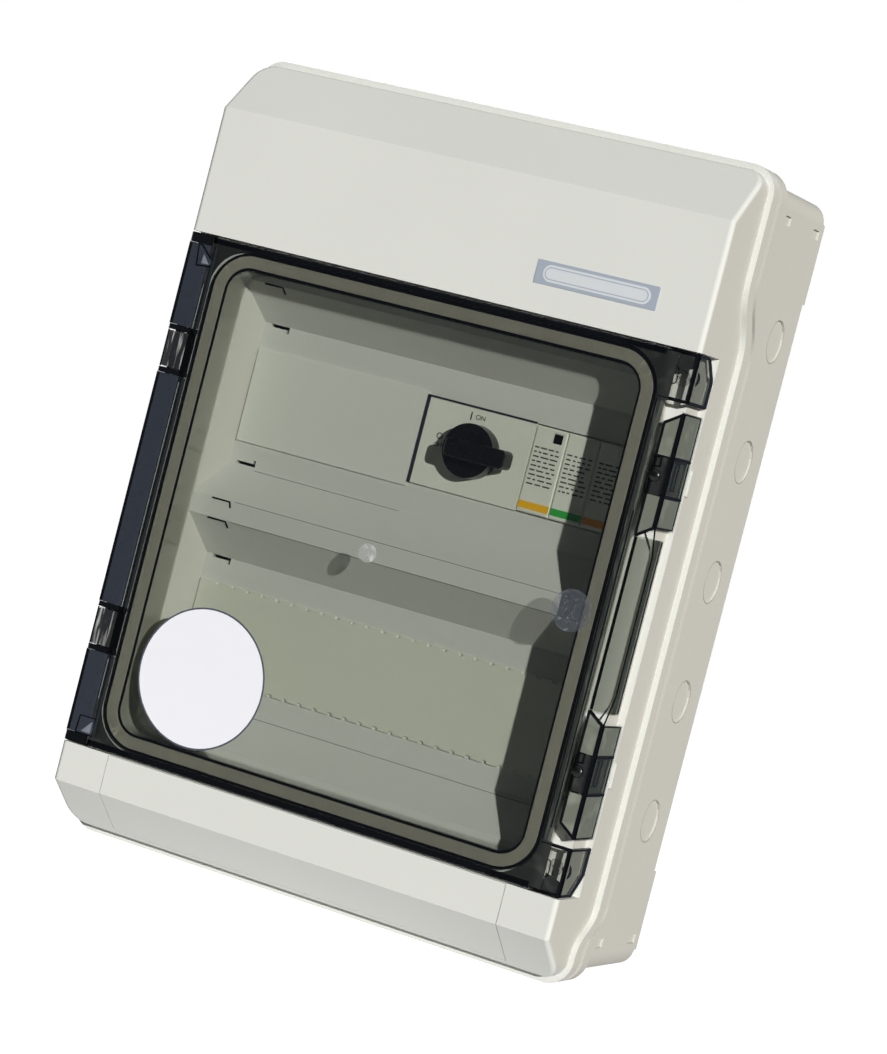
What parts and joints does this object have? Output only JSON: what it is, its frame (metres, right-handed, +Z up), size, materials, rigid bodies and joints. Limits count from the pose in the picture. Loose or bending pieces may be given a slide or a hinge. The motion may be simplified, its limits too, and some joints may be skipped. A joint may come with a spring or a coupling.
{
  "type": "solar dc disconnect box",
  "caption": "Wall-mounted solar DC box with a smoked latching door over a sunken tray, a rotary isolator and a surge arrester on rails.",
  "frame": {"origin": "middle of the four wall-screw holes, on the wall plane", "axes": "+X to the right, +Z up, the front faces -Y, and +Y points into the wall"},
  "size_m": [0.295, 0.1342, 0.419],
  "materials": {
    "grey_plastic": "fine satin moulded, light grey",
    "black_rubber": "matt",
    "grey_screw_plastic": "satin",
    "smoked_plastic": "clear smoked polycarbonate",
    "green_grey_rubber": "matt foamed",
    "zinc_steel": "zinc plated",
    "strip_plastic": "satin",
    "device_plastic": "satin",
    "black_plastic": "satin",
    "brass": "plain machined"
  },
  "bodies": {
    "enclosure": {"bar_holder": "black_plastic", "base_shell": "grey_plastic", "blanking_strip_lower": "strip_plastic", "blanking_strip_upper": "strip_plastic", "body_seal": "black_rubber", "carrier_screws": "zinc_steel", "cover_screws": "grey_screw_plastic", "earth_bar": "brass", "front_cover": "grey_plastic", "hinge_clip_lower": "smoked_plastic", "hinge_clip_upper": "smoked_plastic", "hinge_pins": "zinc_steel", "mounting_rail_lower": "zinc_steel", "mounting_rail_upper": "zinc_steel", "neutral_bar": "brass", "rail_carrier_left": "zinc_steel", "rail_carrier_right": "zinc_steel", "rail_screws": "zinc_steel", "surge_base": "device_plastic", "surge_cartridge_1": "device_plastic", "surge_cartridge_2": "device_plastic", "surge_cartridge_3": "device_plastic", "switch_body": "device_plastic", "switch_plate": "device_plastic", "terminal_cover": "grey_plastic"},
    "door": {"door": "smoked_plastic", "door_seal": "green_grey_rubber", "latch_pins": "zinc_steel"},
    "latch": {"latch_bar": "smoked_plastic"},
    "knob": {"switch_knob": "black_plastic", "switch_shaft": "zinc_steel"}
  },
  "joints": [
    {"name": "door_hinge", "type": "hinge", "parent": "enclosure", "child": "door", "pos_m": [-0.14, -0.1285, -0.0256], "axis": [0, 0, -1], "range_deg": [0, 115]},
    {"name": "latch_hinge", "type": "hinge", "parent": "door", "child": "latch", "pos_m": [0.137, -0.1285, -0.0256], "axis": [0, 0, -1], "range_deg": [0, 22]},
    {"name": "switch_turn", "type": "hinge", "parent": "enclosure", "child": "knob", "pos_m": [0.0245, -0.1025, 0.0366], "axis": [0, 1, 0], "range_deg": [0, 90]}
  ]
}
